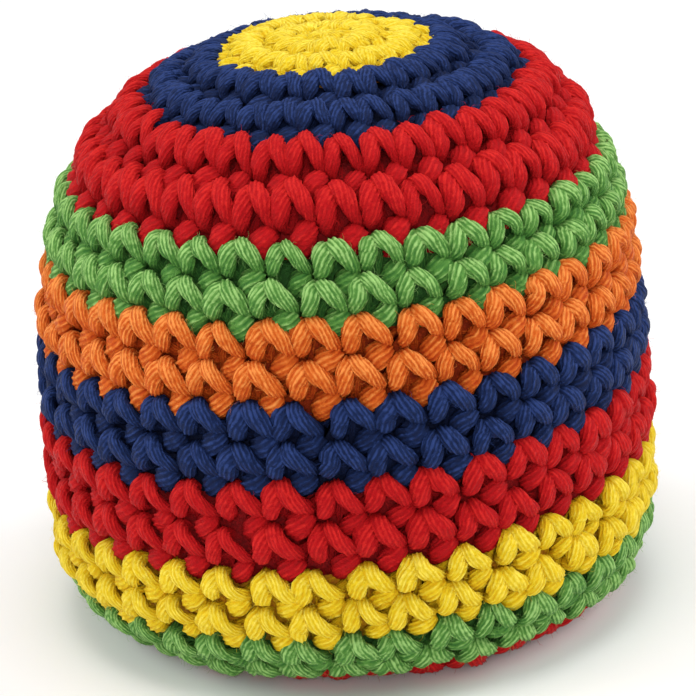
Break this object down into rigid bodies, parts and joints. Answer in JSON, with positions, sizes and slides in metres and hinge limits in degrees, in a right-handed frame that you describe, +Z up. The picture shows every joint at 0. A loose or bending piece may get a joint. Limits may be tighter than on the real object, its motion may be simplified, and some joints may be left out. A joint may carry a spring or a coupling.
{
  "type": "crocheted bean ball",
  "caption": "Palm-sized crocheted ball with striped yarn bands, filled loosely with plastic pellets, for kicking, tossing and squeezing.",
  "frame": {"origin": "on the floor under the middle of the ball", "axes": "+Z up along the ball's axis from base to crown; -Y is the side seen in the picture; +X to the right in that view"},
  "size_m": [0.061, 0.061, 0.0582],
  "materials": {
    "yellow_yarn": "plied acrylic yarn, soft sheen, slightly fuzzy",
    "navy_yarn": "plied acrylic yarn, soft sheen, slightly fuzzy",
    "red_yarn": "plied acrylic yarn, soft sheen, slightly fuzzy",
    "green_yarn": "plied acrylic yarn, soft sheen, slightly fuzzy",
    "orange_yarn": "plied acrylic yarn, soft sheen, slightly fuzzy",
    "liner_cloth": "plain woven dark cotton",
    "liner_thread": "dark sewing thread",
    "pellet_plastic": "translucent white resin pellets"
  },
  "bodies": {
    "base": {"green_base_band": "green_yarn", "red_base_band": "red_yarn", "yellow_base_disc": "yellow_yarn"},
    "yellow_lower": {"yellow_lower_band": "yellow_yarn"},
    "red_lower": {"red_lower_band": "red_yarn"},
    "navy_waist": {"navy_waist_band": "navy_yarn"},
    "orange": {"orange_band": "orange_yarn"},
    "green_upper": {"green_upper_band": "green_yarn"},
    "red_shoulder": {"red_shoulder_band": "red_yarn"},
    "navy_crown": {"navy_crown_band": "navy_yarn"},
    "crown": {"yellow_crown": "yellow_yarn"},
    "filling": {"liner_bag": "liner_cloth", "liner_tie": "liner_thread", "pellet_fill": "pellet_plastic", "loose_pellet_01": "pellet_plastic", "loose_pellet_02": "pellet_plastic", "loose_pellet_03": "pellet_plastic", "loose_pellet_04": "pellet_plastic", "loose_pellet_05": "pellet_plastic", "loose_pellet_06": "pellet_plastic", "loose_pellet_07": "pellet_plastic", "loose_pellet_08": "pellet_plastic", "loose_pellet_09": "pellet_plastic", "loose_pellet_10": "pellet_plastic", "loose_pellet_11": "pellet_plastic", "loose_pellet_12": "pellet_plastic", "loose_pellet_13": "pellet_plastic", "loose_pellet_14": "pellet_plastic", "loose_pellet_15": "pellet_plastic", "loose_pellet_16": "pellet_plastic", "loose_pellet_17": "pellet_plastic", "loose_pellet_18": "pellet_plastic", "loose_pellet_19": "pellet_plastic"}
  },
  "joints": [
    {"name": "squeeze", "type": "slide", "parent": "base", "child": "crown", "axis": [0, 0, -1], "range_m": [0, 0.0052]},
    {"name": "navy_crown_sink", "type": "slide", "parent": "base", "child": "navy_crown", "axis": [0, 0, -1], "range_m": [0, 0.00455]},
    {"name": "red_shoulder_sink", "type": "slide", "parent": "base", "child": "red_shoulder", "axis": [0, 0, -1], "range_m": [0, 0.0039]},
    {"name": "green_upper_sink", "type": "slide", "parent": "base", "child": "green_upper", "axis": [0, 0, -1], "range_m": [0, 0.00325]},
    {"name": "orange_sink", "type": "slide", "parent": "base", "child": "orange", "axis": [0, 0, -1], "range_m": [0, 0.0026]},
    {"name": "navy_waist_sink", "type": "slide", "parent": "base", "child": "navy_waist", "axis": [0, 0, -1], "range_m": [0, 0.00195]},
    {"name": "red_lower_sink", "type": "slide", "parent": "base", "child": "red_lower", "axis": [0, 0, -1], "range_m": [0, 0.0013]},
    {"name": "yellow_lower_sink", "type": "slide", "parent": "base", "child": "yellow_lower", "axis": [0, 0, -1], "range_m": [0, 0.00065]},
    {"name": "filling_shift", "type": "slide", "parent": "base", "child": "filling", "axis": [0, 0, 1], "range_m": [0, 0.0025]}
  ],
  "couplings": [
    {"joint": "navy_crown_sink", "follows": "squeeze", "ratio": 0.875},
    {"joint": "red_shoulder_sink", "follows": "squeeze", "ratio": 0.75},
    {"joint": "green_upper_sink", "follows": "squeeze", "ratio": 0.625},
    {"joint": "orange_sink", "follows": "squeeze", "ratio": 0.5},
    {"joint": "navy_waist_sink", "follows": "squeeze", "ratio": 0.375},
    {"joint": "red_lower_sink", "follows": "squeeze", "ratio": 0.25},
    {"joint": "yellow_lower_sink", "follows": "squeeze", "ratio": 0.125}
  ]
}
